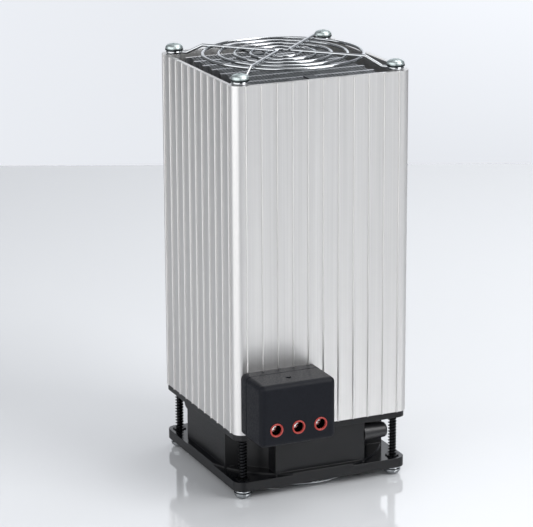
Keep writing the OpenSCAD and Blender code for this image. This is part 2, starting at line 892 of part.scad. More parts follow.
// One leg of a cross wire: level over the rings, bent to its foot, then level again to the eye
module guard_leg(zs, ze) {
    run = leg_run - foot_run;
    turn = atan2(zs - ze, run);
    level = vee_leg - leg_run;
    translate([vee_x, 0, zs])
        rotate(vee_turn)
            translate([0, apex_r, 0]) {
                straight_wire(level);
                translate([level, 0, 0]) {
                    wire_bend(turn);
                    rotate([0, turn, 0]) straight_wire(norm([run, zs - ze]));
                }
                translate([level + run, 0, ze - zs]) {
                    wire_bend(turn);
                    straight_wire(foot_run - eye_r);
                }
            }
}

// Welded wire guard, drawn with the eyes at z = 0 and the rings at z = rise.
// side is 1 for cross wires on the outer side of the rings and -1 for the inner side.
module guard(rise, side) {
    zs = rise + side * (wire_d - weld);
    ze = eye_wire / 2;
    for (k = [0 : ring_n - 1])
        translate([0, 0, rise])
            rotate_extrude($fn = 96)
                translate([ring_r0 + k * ring_pitch, 0]) circle(wire_r, $fn = 48);
    for (m = [0, 1])
        mirror([m, 0, 0]) {
            translate([vee_x, 0, zs])
                rotate(90 + vee_turn)
                    rotate_extrude(angle = 180 - 2 * vee_turn, $fn = 64)
                        translate([apex_r, 0]) circle(wire_r, $fn = 48);
            for (n = [0, 1])
                mirror([0, n, 0]) guard_leg(zs, ze);
        }
    corner_spots()
        translate([0, 0, ze])
            rotate_extrude($fn = 48)
                translate([eye_r, 0]) circle(eye_wire / 2, $fn = 48);
}

module top_guard() {
    color("#d8dadc")
        translate([0, 0, casing_z1]) guard(guard_rise, 1);
}

module bottom_guard() {
    color("#d8dadc")
        translate([0, 0, fan_z0]) mirror([0, 0, 1]) guard(guard_drop, -1);
}

// Pan head with a cross recess, its seat on z = 0 and its crown up
module pan_head() {
    edge = head_h - head_rim;
    difference() {
        rotate_extrude($fn = 48) {
            square([head_d / 2 - edge, head_h]);
            square([head_d / 2, head_h - edge]);
            intersection() {
                translate([head_d / 2 - edge, head_h - edge]) circle(edge, $fn = 48);
                square([head_d, head_h]);
            }
        }
        for (q = [0, 90])
            rotate(q)
                translate([-cross_l / 2, -cross_w / 2, head_h - cross_h])
                    cube([cross_l, cross_w, cross_h + eps]);
    }
}

// Shank below a head, from z = 0 down, with its thread drawn over part of its length
module shank(l, t0, t1) {
    turns = floor((t1 - t0) / thread_p);
    low = core_d / 2;
    high = thread_d / 2;
    translate([0, 0, -l]) cylinder(h = l + eps, r = low, $fn = 32);
    if (turns > 0)
        rotate_extrude($fn = 32)
            polygon(concat(
                [[0, -t0 - turns * thread_p], [0, -t0]],
                [for (k = [0 : turns - 1])
                    for (p = [[low - 0.1, 0], [high, 0.35], [high, 0.5], [low - 0.1, 0.85]])
                        [p[0], -t0 - (k + p[1]) * thread_p]]
            ));
}

// Screws that hold the upper guard to the casing
module top_screws() {
    color("#aeb9b8")
        corner_spots()
            translate([0, 0, casing_z1 + eye_wire + washer_t]) {
                pan_head();
                shank(eye_wire + washer_t + top_bite, 0, 0);
            }
}

// Plain washers under the upper heads
module top_washers() {
    color("silver")
        corner_spots()
            translate([0, 0, casing_z1 + eye_wire])
                difference() {
                    cylinder(h = washer_t, r = head_d / 2 + washer_out, $fn = 48);
                    translate([0, 0, -eps]) cylinder(h = washer_t + 2 * eps, r = washer_bore / 2, $fn = 32);
                }
}

// Long screws through both flanges of the fan, whose heads are the heater's feet
module bottom_screws() {
    z0 = eye_wire + flange_low_t;
    z1 = eye_wire + fan_h - flange_top_t;
    color("#3a3b3e")
        corner_spots()
            translate([0, 0, head_h])
                mirror([0, 0, 1]) {
                    pan_head();
                    shank(eye_wire + fan_h + screw_bite, z0 + retainer_t + thread_gap, z1);
                }
}

// Toothed washers that keep the long screws in the lower flange
module screw_retainers() {
    color("#2a2a2c")
        corner_spots()
            translate([0, 0, fan_z0 + flange_low_t])
                difference() {
                    cylinder(h = retainer_t, r = retainer_r, $fn = 48);
                    translate([0, 0, -eps])
                        cylinder(h = retainer_t + 2 * eps, r = core_d / 2 + fit, $fn = 32);
                    for (q = [0 : 60 : 300])
                        rotate(q)
                            translate([retainer_r + notch_out, 0, -eps])
                                cylinder(h = retainer_t + 2 * eps, r = notch_r, $fn = 24);
                }
}

// Snap clip for a 35 mm mounting rail: a fixed hook above and a sprung hook below
module rail_clip() {
    z_in = rail_w / 2 + rail_gap;
    z_out = z_in + hook_h;
    color("#1f2023")
        translate([0, 0, clip_z])
            difference() {
                union() {
                    translate([-clip_w / 2, clip_y0, -z_out - clip_tail])
                        cube([clip_w, clip_t, 2 * z_out + clip_tail + hook_h]);
                    translate([-clip_w / 2, clip_y0 + eps, -rail_w / 2 + pad_in])
                        cube([clip_w, clip_t + clip_pad - eps, rail_w - 2 * pad_in]);
                    for (s = [-1, 1])
                        translate([-clip_w / 2, 0, 0]) {
                            translate([0, clip_y0 + eps, s > 0 ? z_in : -z_out])
                                cube([clip_w, hook_y + hook_t - clip_y0 - eps, z_out - z_in]);
                            translate([0, hook_y, s > 0 ? z_in - hook_l : -z_in - eps])
                                cube([clip_w, hook_t, hook_l + eps]);
                        }
                }
                for (s = [-1, 1]) {
                    translate([(s * tongue_w - tongue_slot) / 2, clip_y0 - eps, -z_out - clip_tail - eps])
                        cube([tongue_slot, rear_y - clip_y0 + 2 * eps, tongue_l + eps]);
                    translate([s > 0 ? tongue_w / 2 : -clip_w / 2 - eps, seat_y - clip_pad, -z_out - eps])
                        cube([(clip_w - tongue_w) / 2 + eps, rear_y - seat_y + 2 * eps,
                            hook_h + hook_l + 2 * eps]);
                    translate([s * clip_screw_x, clip_y0 - eps, 0])
                        rotate([-90, 0, 0])
                            cylinder(h = rear_y - clip_y0, r = clip_screw_r + 3 * fit, $fn = 32);
                    translate([s * clip_screw_x, seat_y - clip_head_sink, 0])
                        rotate([-90, 0, 0])
                            cylinder(h = clip_head_sink + eps, r = clip_head_r + 6 * fit, $fn = 32);
                }
            }
}

// Flush screws that hold the rail clip to the casing's back
module clip_screws() {
    head_y = seat_y - clip_head_sink;
    tip_y = inner_half - clip_screw_end;
    color("lightsteelblue")
        for (s = [-1, 1])
            translate([s * clip_screw_x, 0, clip_z])
                rotate([-90, 0, 0])
                    difference() {
                        union() {
                            translate([0, 0, tip_y])
                                cylinder(h = head_y - tip_y + eps, r = clip_screw_r, $fn = 32);
                            translate([0, 0, head_y]) cylinder(h = clip_head_h, r = clip_head_r, $fn = 32);
                        }
                        for (q = [0, 90])
                            rotate(q)
                                translate([-clip_head_r * 0.6, -slot_w / 2, head_y + clip_head_h - slot_h])
                                    cube([clip_head_r * 1.2, slot_w, slot_h + eps]);
                    }
}

place() casing();
place() heater_bar(1);  // heater_bar_1
place() heater_bar(2);  // heater_bar_2
place() heater_bar(3);  // heater_bar_3
place() heater_bar(4);  // heater_bar_4
place() heater_bar(5);  // heater_bar_5
place() heater_bar(6);  // heater_bar_6
place() heater_bar(7);  // heater_bar_7
place() heater_bar(8);  // heater_bar_8
place() heater_cores();
place() fin_layer(1);  // fin_layer_1
place() fin_layer(2);  // fin_layer_2
place() fin_layer(3);  // fin_layer_3
place() fin_layer(4);  // fin_layer_4
place() fin_layer(5);  // fin_layer_5
place() fin_layer(6);  // fin_layer_6
place() fin_layer(7);  // fin_layer_7
place() end_frame(-1);  // end_frame_left
place() end_frame(1);  // end_frame_right
place() pack_clips();
place() bus_strip(1);  // bus_strip_live
place() bus_strip(2);  // bus_strip_neutral
place() earth_strap();
place() terminal_base();
place() terminal_cover();
place() terminal_collars();
place() terminal_clamps();
place() clamp_screws();
place() terminal_fixings();
place() fan_housing();
place() stator_core();
place() stator_windings();
place() bearings();
place() impeller();
place() rotor_ring();
place() fan_shaft();
place() shaft_clip();
place() lead_boots();
place() top_guard();
place() bottom_guard();
place() top_screws();
place() top_washers();
place() bottom_screws();
place() screw_retainers();
place() rail_clip();
place() clip_screws();
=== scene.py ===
"""Looks of an enclosure fan heater: studio, finishes, and finer meshes for collars and screws."""
import math

import bpy
from mathutils import Matrix, Vector


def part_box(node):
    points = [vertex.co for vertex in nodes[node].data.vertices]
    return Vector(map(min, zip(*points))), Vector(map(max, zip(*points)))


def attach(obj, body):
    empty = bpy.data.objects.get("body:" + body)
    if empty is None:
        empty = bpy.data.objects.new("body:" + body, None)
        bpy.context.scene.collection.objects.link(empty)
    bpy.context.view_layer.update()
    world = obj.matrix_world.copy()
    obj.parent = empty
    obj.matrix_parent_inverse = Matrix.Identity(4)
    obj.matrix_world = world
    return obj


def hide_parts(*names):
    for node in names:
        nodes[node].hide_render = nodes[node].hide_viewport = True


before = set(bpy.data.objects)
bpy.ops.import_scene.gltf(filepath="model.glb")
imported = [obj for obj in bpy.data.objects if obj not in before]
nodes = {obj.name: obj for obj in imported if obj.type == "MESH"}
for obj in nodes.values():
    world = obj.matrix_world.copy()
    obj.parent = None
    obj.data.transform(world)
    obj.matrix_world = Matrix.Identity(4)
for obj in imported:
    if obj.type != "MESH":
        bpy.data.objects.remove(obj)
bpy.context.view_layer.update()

# Camera: a long lens a little above the heater, to the left of its front.
# Focal length, aim and distance come from the casing's and the fan's corners in the photograph.
FRAME_PX = 533
FOCAL_PX = 2580
SENSOR_MM = 36
VIEW_TURN = math.radians(-24.06)
VIEW_RISE = math.radians(16.0)
VIEW_ROLL = math.radians(-0.268)
VIEW_AIM = Vector((0, 0.011475, 0.156))
VIEW_SLIDE = (0.01094, 0.02168)
VIEW_DISTANCE = 1.652

back = Vector((math.sin(VIEW_TURN) * math.cos(VIEW_RISE),
               -math.cos(VIEW_TURN) * math.cos(VIEW_RISE),
               math.sin(VIEW_RISE)))
level_right = Vector((0, 0, 1)).cross(back).normalized()
level_up = back.cross(level_right)
right = math.cos(VIEW_ROLL) * level_right + math.sin(VIEW_ROLL) * level_up
up = math.cos(VIEW_ROLL) * level_up - math.sin(VIEW_ROLL) * level_right
eye = VIEW_AIM - VIEW_SLIDE[0] * right - VIEW_SLIDE[1] * up + VIEW_DISTANCE * back

lens = bpy.data.cameras.new("photo_lens")
lens.sensor_width = SENSOR_MM
lens.lens = FOCAL_PX * SENSOR_MM / FRAME_PX
camera = bpy.data.objects.new("photo_camera", lens)
camera.matrix_world = Matrix((right, up, back)).transposed().to_4x4()
camera.location = eye
bpy.context.collection.objects.link(camera)
scene = bpy.context.scene
scene.camera = camera
scene.view_settings.view_transform = "Standard"

# Studio: a sheet of pale gloss acrylic before a sheet of backdrop paper, in a dim room.
# One soft lamp stands to the right, a wide one to the left and a small one above.
TABLE_W = 8
TABLE_D = 6
TABLE_BEHIND = 0.82
TABLE_ROUGHNESS = 0.07
TABLE_IOR = 2.2
BACKDROP_X = 2.1
BACKDROP_Y = 2.6
BACKDROP_W = 4.6
BACKDROP_H = 3.2
BACKDROP_FOOT = -0.8
BACKDROP_ROUGHNESS = 0.9
GLOW_NEAR = (0.3, 1.05)  # metres from the paper's middle, and the glow there
GLOW_FAR = (1.5, 0.53)
ROOM_LIGHT = 0.25
LAMPS = (  # name, place, width and height in metres, power in watts
    ("right_softbox", (0.8, -1.2, 1.1), (1.0, 1.0), 24),
    ("left_softbox", (-1.3, -0.4, 0.75), (2.6, 1.6), 22.5),
    ("top_softbox", (0.5, 0.1, 1.4), (1.0, 0.8), 7.5),
)


def linear(code):
    """Linear RGBA for a colour written as an sRGB hex code."""
    parts = [int(code[i:i + 2], 16) / 255 for i in (1, 3, 5)]
    return [p / 12.92 if p <= 0.04045 else ((p + 0.055) / 1.055) ** 2.4 for p in parts] + [1.0]


def add(tree, kind, settings=(), inputs=()):
    """Adds a node, sets its properties, and fills or links its sockets, named or numbered."""
    node = tree.nodes.new(kind)
    for name, value in dict(settings).items():
        setattr(node, name, value)
    for name, value in dict(inputs).items():
        if isinstance(value, bpy.types.NodeSocket):
            tree.links.new(value, node.inputs[name])
        else:
            node.inputs[name].default_value = value
    return node


def finish(name):
    """A new material, its node tree and its shader."""
    made = bpy.data.materials.new(name)
    made.use_nodes = True
    return made, made.node_tree, made.node_tree.nodes["Principled BSDF"]


look = Vector((-math.sin(VIEW_TURN), math.cos(VIEW_TURN), 0))
table_middle = look * (TABLE_BEHIND - TABLE_D / 2)
bpy.ops.object.select_all(action="DESELECT")
bpy.ops.mesh.primitive_plane_add(size=1, location=table_middle, rotation=(0, 0, VIEW_TURN))
table = bpy.context.object
table.scale = (TABLE_W, TABLE_D, 1)
table.name = "table"
# Polished acrylic mirrors what stands on it, most clearly at a flat angle.
acrylic, tree, shader = finish("white gloss acrylic")
shader.inputs["Base Color"].default_value = linear("#dddfe2")
shader.inputs["Roughness"].default_value = TABLE_ROUGHNESS
shader.inputs["IOR"].default_value = TABLE_IOR
table.data.materials.append(acrylic)

backdrop_middle = (BACKDROP_X, BACKDROP_Y, BACKDROP_FOOT + BACKDROP_H / 2)
bpy.ops.object.select_all(action="DESELECT")
bpy.ops.mesh.primitive_plane_add(size=1, location=backdrop_middle, rotation=(math.pi / 2, 0, 0))
backdrop = bpy.context.object
backdrop.name = "backdrop"
backdrop.scale = (BACKDROP_W, BACKDROP_H, 1)
# The paper is white and matt, and its middle is the brightest.
# Only the camera and glossy surfaces see the glow, so it puts no light on the heater.
paper, tree, shader = finish("white backdrop paper")
shader.inputs["Base Color"].default_value = linear("#e6e8ec")
shader.inputs["Roughness"].default_value = BACKDROP_ROUGHNESS
shader.inputs["Emission Color"].default_value = linear("#f4f7fc")
spot = add(tree, "ShaderNodeTexCoord")
metres = add(tree, "ShaderNodeMapping", {},
             {"Vector": spot.outputs["Object"], "Scale": backdrop.scale})
away = add(tree, "ShaderNodeVectorMath", {"operation": "LENGTH"}, {0: metres.outputs[0]})
glow = add(tree, "ShaderNodeMapRange", {},
           {"Value": away.outputs["Value"], "From Min": GLOW_NEAR[0], "From Max": GLOW_FAR[0],
            "To Min": GLOW_NEAR[1], "To Max": GLOW_FAR[1]})
ray = add(tree, "ShaderNodeLightPath")
seen = add(tree, "ShaderNodeMath", {"operation": "ADD"},
           {0: ray.outputs["Is Camera Ray"], 1: ray.outputs["Is Glossy Ray"]})
clear = add(tree, "ShaderNodeMath", {"operation": "ADD", "use_clamp": True},
            {0: seen.outputs[0], 1: ray.outputs["Is Transmission Ray"]})
shown = add(tree, "ShaderNodeMath", {"operation": "MULTIPLY"},
            {0: glow.outputs[0], 1: clear.outputs[0]})
tree.links.new(shown.outputs[0], shader.inputs["Emission Strength"])
backdrop.data.materials.append(paper)

room = bpy.data.worlds.new("dim room")
room.use_nodes = True
room.node_tree.nodes["Background"].inputs["Color"].default_value = linear("#eef1f6")
room.node_tree.nodes["Background"].inputs["Strength"].default_value = ROOM_LIGHT
scene.world = room

for name, place, size, power in LAMPS:
    lamp = bpy.data.lights.new(name, "AREA")
    lamp.shape = "RECTANGLE"
    lamp.size, lamp.size_y = size
    lamp.energy = power
    holder = bpy.data.objects.new(name, lamp)
    holder.location = place
    holder.rotation_euler = (VIEW_AIM - Vector(place)).to_track_quat("-Z", "Y").to_euler()
    bpy.context.collection.objects.link(holder)

# Casing: one aluminium extrusion with a rounded rib every ten millimetres, sawn to length.
# Its corners hold the ports for the screws, and it is left as it comes from the mill.
BROAD_LINES = (2.4, 400)  # width and length of the die lines in millimetres
FINE_LINES = (0.7, 150)
LINE_TONES = (0.7, 1.3)  # where the sum of both kinds of line mostly lies
NOISE = (0.3, 0.7)  # where one noise mostly lies
MILL_ROUGHNESS = (0.34, 0.42)
LINE_RELIEF = 0.08
LINE_DEPTH = 0.0001


def dress(material, *names):
    """Gives CAD nodes one material."""
    for name in names:
        mesh = nodes[name].data
        mesh.materials.clear()
        mesh.materials.append(material)


def mm(*sizes):
    """Mapping scale that makes a pattern repeat at these sizes along X, Y and Z."""
    return [1000 / size for size in sizes]


def die_lines(tree, across, along):
    """Streaks along Z, as a drawn or extruded surface has."""
    where = add(tree, "ShaderNodeTexCoord")
    drawn_out = add(tree, "ShaderNodeMapping", {},
                    {"Vector": where.outputs["Object"], "Scale": mm(across, across, along)})
    streaks = add(tree, "ShaderNodeTexNoise", {},
                  {"Vector": drawn_out.outputs[0], "Scale": 1, "Detail": 3})
    return streaks.outputs["Fac"]


# The die leaves upright streaks in a soft silver sheen, which spreads each lamp's light.
# Real die lines are finer than the picture can show, so these are drawn coarser.
mill, tree, shader = finish("extruded aluminium, mill finish")
broad = die_lines(tree, *BROAD_LINES)
fine = die_lines(tree, *FINE_LINES)
streak = add(tree, "ShaderNodeMath", {"operation": "ADD"}, {0: broad, 1: fine})
tone = add(tree, "ShaderNodeMapRange", {},
           {"Value": streak.outputs[0], "From Min": LINE_TONES[0], "From Max": LINE_TONES[1]})
colour = add(tree, "ShaderNodeMix", {"data_type": "RGBA"},
             {0: tone.outputs[0], 6: linear("#dad9d8"), 7: linear("#e4e3e2")})
rough = add(tree, "ShaderNodeMapRange", {},
            {"Value": fine, "From Min": NOISE[0], "From Max": NOISE[1],
             "To Min": MILL_ROUGHNESS[0], "To Max": MILL_ROUGHNESS[1]})
relief = add(tree, "ShaderNodeBump", {},
             {"Strength": LINE_RELIEF, "Distance": LINE_DEPTH, "Height": streak.outputs[0]})
shader.inputs["Metallic"].default_value = 1
tree.links.new(colour.outputs[2], shader.inputs["Base Color"])
tree.links.new(rough.outputs[0], shader.inputs["Roughness"])
tree.links.new(relief.outputs[0], shader.inputs["Normal"])
dress(mill, "casing")

# Heater pack: flat drawn tubes with folded sheet between them, gripped by heat-proof frames.
# Two dark spring strips hold the pack down, and brass strips carry the current below it.
bars = [name for name in nodes if name.startswith("heater_bar")]
fins = [name for name in nodes if name.startswith("fin_layer")]
TUBE_LINES = (0.8, 60)
TUBE_ROUGHNESS = 0.3
SHEET_LINES = (0.5, 30)
SHEET_ROUGHNESS = 0.35
GRAIN_RELIEF = 0.3


def drawn_metal(name, dark, pale, lines, roughness):
    """Drawn or rolled aluminium: two close tones in streaks, with an even gloss."""
    made, tree, shader = finish(name)
    colour = add(tree, "ShaderNodeMix", {"data_type": "RGBA"},
                 {0: die_lines(tree, *lines), 6: linear(dark), 7: linear(pale)})
    shader.inputs["Metallic"].default_value = 1
    shader.inputs["Roughness"].default_value = roughness
    tree.links.new(colour.outputs[2], shader.inputs["Base Color"])
    return made


def grain(tree, size, low, high):
    """Fine even grain of a moulded or cast surface, from low to high."""
    where = add(tree, "ShaderNodeTexCoord")
    scaled = add(tree, "ShaderNodeMapping", {},
                 {"Vector": where.outputs["Object"], "Scale": mm(size, size, size)})
    speck = add(tree, "ShaderNodeTexNoise", {},
                {"Vector": scaled.outputs[0], "Scale": 1, "Detail": 2})
    spread = add(tree, "ShaderNodeMapRange", {},
                 {"Value": speck.outputs["Fac"], "From Min": NOISE[0], "From Max": NOISE[1],
                  "To Min": low, "To Max": high})
    return speck.outputs["Fac"], spread.outputs[0]


def moulded(name, dark, pale, grain_mm, rough, depth_mm):
    """Plastic, rubber or a coat: two close tones in a grain, uneven gloss and a slight relief."""
    made, tree, shader = finish(name)
    speck, uneven = grain(tree, grain_mm, *rough)
    colour = add(tree, "ShaderNodeMix", {"data_type": "RGBA"},
                 {0: speck, 6: linear(dark), 7: linear(pale)})
    relief = add(tree, "ShaderNodeBump", {},
                 {"Strength": GRAIN_RELIEF, "Distance": depth_mm / 1000, "Height": speck})
    tree.links.new(colour.outputs[2], shader.inputs["Base Color"])
    tree.links.new(uneven, shader.inputs["Roughness"])
    tree.links.new(relief.outputs[0], shader.inputs["Normal"])
    return made


def plated(name, dark, pale, cloud_mm, rough):
    """Plated or bare metal: two close tones in soft clouds and uneven gloss."""
    made, tree, shader = finish(name)
    speck, uneven = grain(tree, cloud_mm, *rough)
    colour = add(tree, "ShaderNodeMix", {"data_type": "RGBA"},
                 {0: speck, 6: linear(dark), 7: linear(pale)})
    shader.inputs["Metallic"].default_value = 1
    tree.links.new(colour.outputs[2], shader.inputs["Base Color"])
    tree.links.new(uneven, shader.inputs["Roughness"])
    return made


# Drawing leaves the tubes bright and lightly streaked; their grey tones are painted shade, for
# their place deep in the casing.
tube = drawn_metal("drawn aluminium tube, bright", "#9a9c9f", "#bcbec1",
                   TUBE_LINES, TUBE_ROUGHNESS)
dress(tube, *bars)
# Rolled sheet is paler than the tubes, so its folded edges show as fine light lines.
sheet = drawn_metal("thin aluminium sheet, rolled", "#aeb1b4", "#cdd0d3",
                    SHEET_LINES, SHEET_ROUGHNESS)
dress(sheet, *fins)
# Filled plastic is nearly black and dull. Its grain, like that of the other moulded parts,
# is coarser than a real one, so that it shows.
frame_plastic = moulded("heat-proof plastic, moulded", "#17181a", "#222326",
                        grain_mm=0.6, rough=(0.5, 0.65), depth_mm=0.03)
dress(frame_plastic, "end_frame_left", "end_frame_right")
# Bluing gives the springs a dark grey shine with soft clouds.
strip_steel = plated("spring steel strip, blued", "#3c4043", "#595e61",
                     cloud_mm=3, rough=(0.3, 0.42))
dress(strip_steel, "pack_clips", "shaft_clip")
# Stamped brass is yellow, with the slightly uneven gloss of rolled strip.
strip_brass = plated("brass strip, stamped", "#b08d4a", "#c9a866",
                     cloud_mm=4, rough=(0.28, 0.4))
dress(strip_brass, "bus_strip_live", "bus_strip_neutral", "earth_strap", "terminal_clamps")
# Fired ceramic is dark grey, dry and slightly mottled.
ceramic = moulded("fired heating ceramic", "#3a3a3c", "#4b4b4d",
                  grain_mm=0.8, rough=(0.6, 0.75), depth_mm=0.03)
dress(ceramic, "heater_cores")

# Terminal box: a moulded black base and cover, screwed to the foot of the casing's front face.
# Slotted screws at the bottom of three wells clamp the conductors.
BOX_SPECULAR = 0.14

# The mould's satin texture breaks up the shine, so the box looks dull and a little speckled.
# Its grain is drawn at 1.1 mm, several times the real size, so that it shows.
box_plastic = moulded("polyamide, moulded with a satin grain", "#0b0d12", "#1a1c23",
                      grain_mm=1.1, rough=(0.4, 0.6), depth_mm=0.12)
shader = box_plastic.node_tree.nodes["Principled BSDF"]
shader.inputs["Specular IOR Level"].default_value = BOX_SPECULAR
dress(box_plastic, "terminal_base", "terminal_cover")
# Passivated zinc has a faint green tinge and a soft gloss.
zinc = plated("bright zinc plate", "#b0bdbe", "#cdd6d5", cloud_mm=2.5, rough=(0.34, 0.46))
dress(zinc, "terminal_fixings", "bearings", "fan_shaft", "clip_screws")
# Polished zinc catches the light at the bottom of the dark wells.
polished = plated("zinc plate, polished", "#d9dedd", "#eef1f0", cloud_mm=2.5, rough=(0.08, 0.15))
dress(polished, "clamp_screws")

# Collars: three red rings, moulded with a rounded lip and pressed into the cover's wells.
# They are short, so the wells behind them stay black.
COLLARS = 3
COLLAR_DEEP = 0.0017
COLLAR_WALL = 0.00105
COLLAR_LIP = 0.0003
COLLAR_SIDES = 48
COLLAR_SHARP = 40


def repeated(model, name, places, sharp):
    """Joins copies of a model, each at a place and turn, to one piece, smooth up to an angle."""
    copies = []
    for location, turn in places:
        copy = model.copy()
        copy.data = model.data.copy()
        copy.location = location
        copy.rotation_euler = turn
        bpy.context.collection.objects.link(copy)
        copies.append(copy)
    bpy.data.objects.remove(model)
    bpy.ops.object.select_all(action="DESELECT")
    for copy in copies:
        copy.select_set(True)
    piece = copies[0]
    bpy.context.view_layer.objects.active = piece
    bpy.ops.object.transform_apply(location=True, rotation=True, scale=True)
    bpy.ops.object.join()
    bpy.ops.object.shade_smooth_by_angle(angle=math.radians(sharp))
    piece.name = name
    return piece


low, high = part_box("terminal_collars")
collar_r = (high.z - low.z) / 2
collar_step = (high.x - low.x - 2 * collar_r) / (COLLARS - 1)
bpy.ops.object.select_all(action="DESELECT")
bpy.ops.mesh.primitive_circle_add(vertices=COLLAR_SIDES, radius=collar_r, fill_type="NGON")
ring = bpy.context.object
bpy.ops.object.mode_set(mode="EDIT")
bpy.ops.mesh.select_all(action="SELECT")
bpy.ops.mesh.inset(thickness=COLLAR_WALL)
bpy.ops.mesh.delete(type="FACE")
bpy.ops.mesh.select_all(action="SELECT")
bpy.ops.mesh.extrude_region_move(TRANSFORM_OT_translate={"value": (0, 0, COLLAR_DEEP)})
bpy.ops.mesh.select_all(action="SELECT")
bpy.ops.mesh.normals_make_consistent(inside=False)
bpy.ops.object.mode_set(mode="OBJECT")
lip = ring.modifiers.new("rounded lip", "BEVEL")
lip.width = COLLAR_LIP
lip.segments = 3
lip.limit_method = "ANGLE"
bpy.ops.object.modifier_apply(modifier=lip.name)
wells = [((low.x + collar_r + number * collar_step, low.y + COLLAR_DEEP, (low.z + high.z) / 2),
          (math.pi / 2, 0, 0)) for number in range(COLLARS)]
collars = repeated(ring, "collar_rings", wells, COLLAR_SHARP)

# The red is clear but deep, and its satin gloss shows as a pale line along the lip.
collar_plastic = moulded("red polyamide, moulded", "#99322c", "#a83b34",
                         grain_mm=1.2, rough=(0.3, 0.42), depth_mm=0.02)
collars.data.materials.clear()
collars.data.materials.append(collar_plastic)
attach(collars, "heater")
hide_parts("terminal_collars")

# Fan: a die-cast aluminium frame under a black coat, with a moulded impeller on its motor.
# The leads leave under two rubber boots at the corners.
COAT_SPECULAR = 0.35
LEVEL_FACE = (0.7, 0.95)  # upward part of the normal, where gloss begins and where it is full
LEVEL_ROUGHNESS = 0.35  # share of the roughness that a level face keeps
CAST_EDGE = 0.0006

# The coat is black and semi-gloss. It flows out on level faces, which mirror more,
# and thins over the edges, which catch a soft line of light.
cast_coat = moulded("black coat on cast aluminium, semi-gloss", "#06070a", "#0a0b0f",
                    grain_mm=0.7, rough=(0.32, 0.42), depth_mm=0.03)
tree = cast_coat.node_tree
shader = tree.nodes["Principled BSDF"]
shader.inputs["Specular IOR Level"].default_value = COAT_SPECULAR
facing = add(tree, "ShaderNodeNewGeometry")
split = add(tree, "ShaderNodeSeparateXYZ", {}, {0: facing.outputs["Normal"]})
level = add(tree, "ShaderNodeMapRange", {},
            {"Value": split.outputs["Z"], "From Min": LEVEL_FACE[0], "From Max": LEVEL_FACE[1],
             "To Min": 1, "To Max": LEVEL_ROUGHNESS})
uneven = shader.inputs["Roughness"].links[0].from_socket
gloss = add(tree, "ShaderNodeMath", {"operation": "MULTIPLY"}, {0: uneven, 1: level.outputs[0]})
tree.links.new(gloss.outputs[0], shader.inputs["Roughness"])
soft_edge = add(tree, "ShaderNodeBevel", {"samples": 4}, {"Radius": CAST_EDGE})
relief = shader.inputs["Normal"].links[0].from_node
tree.links.new(soft_edge.outputs[0], relief.inputs["Normal"])
dress(cast_coat, "fan_housing")
# Glass fibre makes the impeller's black a little grey and its gloss broken.
blade_plastic = moulded("glass-filled plastic, moulded", "#17181a", "#202124",
                        grain_mm=0.6, rough=(0.4, 0.55), depth_mm=0.03)
dress(blade_plastic, "impeller")
# Rubber is a soft black with a broad, dull shine.
boot_rubber = moulded("rubber, moulded", "#18181a", "#222225",
                      grain_mm=0.8, rough=(0.35, 0.5), depth_mm=0.03)
dress(boot_rubber, "lead_boots")
# Stacked sheet is plain grey steel with a dull shine.
lamination = plated("electrical sheet, stacked", "#6d7073", "#85898c",
                    cloud_mm=1.5, rough=(0.4, 0.55))
dress(lamination, "stator_core", "rotor_ring")
# Enamel deepens the copper to a red brown and makes it glossy.
copper = plated("enamelled copper winding", "#a35a2e", "#c07340", cloud_mm=0.8, rough=(0.3, 0.45))
dress(copper, "stator_windings")

# Guards: steel wire, bent to rings and crossing stays and spot welded where they touch.
# The upper one is held by the short screws, the lower one by the long screws.
# Chrome plate mirrors the lamps as sharp white lines along the dark wire.
chrome = plated("chrome plate on steel wire", "#b3b6b9", "#cdd0d3", cloud_mm=6, rough=(0.06, 0.13))
dress(chrome, "top_guard", "bottom_guard")

# Upper screws: zinc-plated steel with a domed head and a cross recess.
# They are driven into the ports in the casing's corners and hold the upper guard.
HEAD_R = 5.6  # sizes of the screws are in millimetres
DOME = [(1, 0), (1, 0.2), (0.98, 0.37), (0.91, 0.56),
        (0.79, 0.74), (0.59, 0.88), (0.34, 0.96), (0.08, 1)]  # shares of radius and height
UPPER_SHANK = [(1.8, -19.2), (2.4, -18.2), (2.4, -0.3), (2.7, 0)]  # radius and height
UPPER_SEAT = 269.2
UPPER_HEAD = 3.2
RECESS = (5.6, 1.3, 3.4)
RECESS_TAPER = 0.5
SLIVER = 0.03
TURNED_SIDES = 40
SCREW_SHARP = 32
DRIVEN_TURN = 25  # degrees that the first screw has turned
DRIVEN_STEP = 37  # degrees that each next screw has turned beyond it


def turned(name, rings):
    """A turned solid on the Z axis, from rings of radius and height in millimetres."""
    radius, height = rings[0]
    bpy.ops.object.select_all(action="DESELECT")
    bpy.ops.mesh.primitive_circle_add(vertices=TURNED_SIDES, radius=radius / 1000,
                                      fill_type="NGON", location=(0, 0, 0))
    made = bpy.context.object
    made.name = name
    bpy.ops.object.mode_set(mode="EDIT")
    bpy.ops.mesh.select_all(action="SELECT")
    bpy.ops.transform.translate(value=(0, 0, height / 1000))
    for wide, high in rings[1:]:
        rise = (0, 0, (high - height) / 1000)
        bpy.ops.mesh.extrude_region_move(TRANSFORM_OT_translate={"value": rise})
        bpy.ops.transform.resize(value=(wide / radius, wide / radius, 1),
                                 center_override=(0, 0, high / 1000))
        radius, height = wide, high
    bpy.ops.mesh.select_all(action="SELECT")
    bpy.ops.mesh.normals_make_consistent(inside=False)
    bpy.ops.object.mode_set(mode="OBJECT")
    return made


